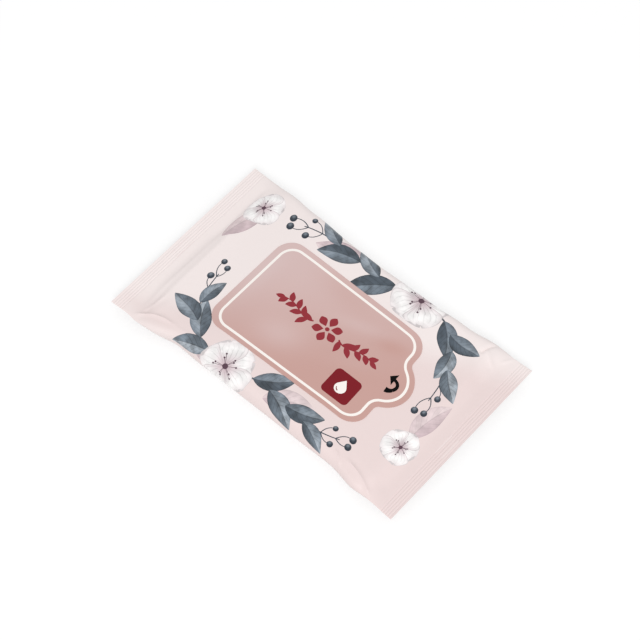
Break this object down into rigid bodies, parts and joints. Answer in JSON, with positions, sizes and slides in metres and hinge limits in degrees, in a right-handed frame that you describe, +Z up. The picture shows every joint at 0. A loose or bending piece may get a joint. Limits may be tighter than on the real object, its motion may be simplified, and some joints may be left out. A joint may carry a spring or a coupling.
{
  "type": "wet wipes pack",
  "caption": "Flat pillow pack of wet wipes in sealed film with ribbed end seals, a folded back seam and a peel-back reseal label with a pull tab.",
  "frame": {"origin": "centre of the pack's underside, on the surface that it lies on", "axes": "+X along the pack's length, towards the end that the label's pull tab points at; +Y across its width; +Z up, out of the labelled face"},
  "size_m": [0.1446, 0.085, 0.0113],
  "materials": {
    "printed_film": "satin printed laminate film, pale pink with slate leaves and white blossoms",
    "label_film": "satin label film, dusty rose with a white keyline"
  },
  "bodies": {
    "root": {"film_pack": "printed_film", "reseal_label": "label_film"}
  },
  "joints": []
}
